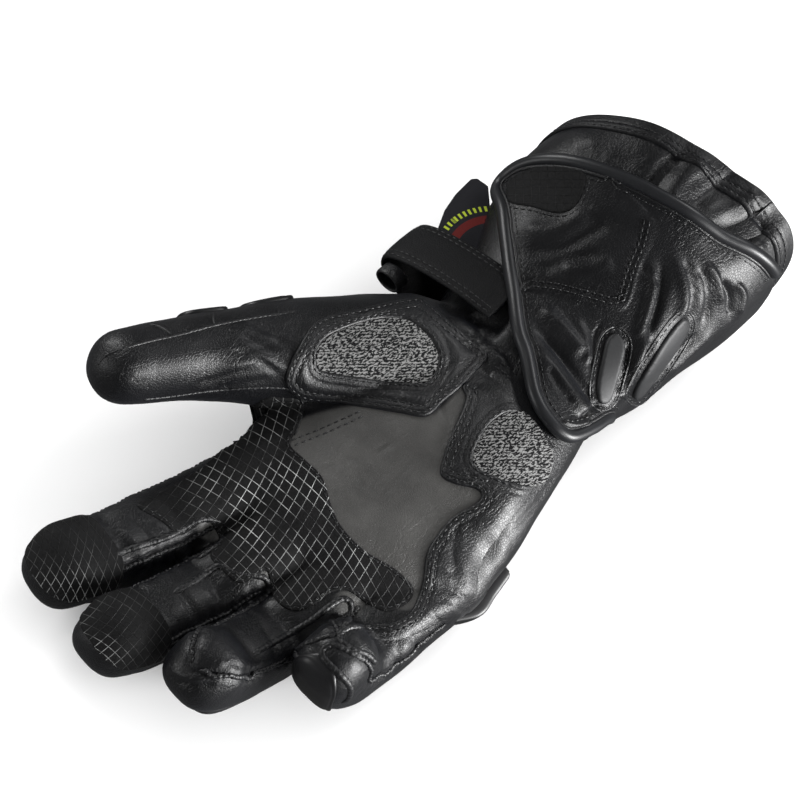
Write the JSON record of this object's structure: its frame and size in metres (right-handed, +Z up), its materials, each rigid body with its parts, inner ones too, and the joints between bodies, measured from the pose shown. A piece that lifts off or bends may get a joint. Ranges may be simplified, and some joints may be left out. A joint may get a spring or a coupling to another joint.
{
  "type": "motorcycle glove",
  "caption": "Right-hand long-cuff leather riding glove lying palm up, with grip, knit and side panels, closing flap, wrist strap and knuckle guard; hollow and open at the cuff.",
  "frame": {"origin": "on the resting surface, under the middle of the bounding box", "axes": "+Z up, out of the palm; +Y along the glove from the fingertips to the cuff; -X to the thumb"},
  "size_m": [0.1536, 0.3068, 0.0818],
  "materials": {
    "leather": "black grain leather, soft sheen",
    "palm_leather": "matte brown-grey suede leather",
    "grip": "near-black grip printed with thin silver lines",
    "knit": "grey abrasion-proof knit",
    "piping": "smooth dark grey bead",
    "guard": "smooth black padded leather",
    "label": "black woven tape"
  },
  "bodies": {
    "root": {"gauntlet_cuff": "leather", "cuff_hem": "leather", "thumb_heel_panel": "leather", "outer_side_panel": "leather", "cuff_flap": "leather", "flap_rib_1": "leather", "flap_rib_2": "leather", "wrist_strap": "leather", "strap_keeper": "leather", "hand_shell": "palm_leather", "index_finger": "palm_leather", "middle_finger": "palm_leather", "ring_finger": "palm_leather", "pinky_finger": "palm_leather", "thumb_tube": "palm_leather", "grip_patch": "grip", "index_tip_grip": "grip", "middle_tip_grip": "grip", "flap_corner_patch": "grip", "thumb_knit_patch": "knit", "heel_knit_patch": "knit", "flap_piping": "piping", "knuckle_guard": "guard", "index_back_panel": "guard", "middle_back_panel": "guard", "ring_back_panel": "guard", "pinky_back_panel": "guard", "thumb_back_patch_1": "guard", "thumb_back_patch_2": "guard", "label_tag": "label"}
  },
  "joints": []
}
